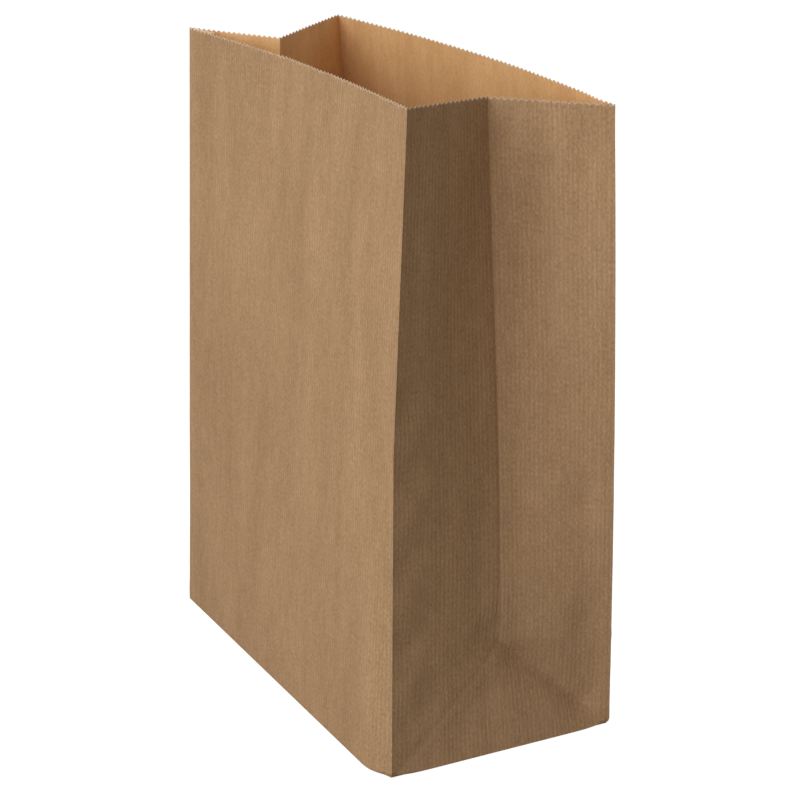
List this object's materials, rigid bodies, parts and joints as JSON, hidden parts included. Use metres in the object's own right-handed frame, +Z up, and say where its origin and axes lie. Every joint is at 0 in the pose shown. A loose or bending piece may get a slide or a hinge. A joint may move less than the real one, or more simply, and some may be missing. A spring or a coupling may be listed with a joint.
{
  "type": "paper lunch bag",
  "caption": "Open brown kraft paper bag with gusseted sides, a flat block bottom and a saw-toothed mouth, for carrying a packed lunch.",
  "frame": {"origin": "middle of the base, on the underside of the lowest base flap", "axes": "+Z up towards the open mouth, +Y from the front broad panel to the back one, +X along the broad panels"},
  "size_m": [0.2386, 0.12, 0.3013],
  "materials": {
    "kraft_paper": "matt, finely ribbed kraft paper"
  },
  "bodies": {
    "root": {"paper_bag": "kraft_paper"}
  },
  "joints": []
}
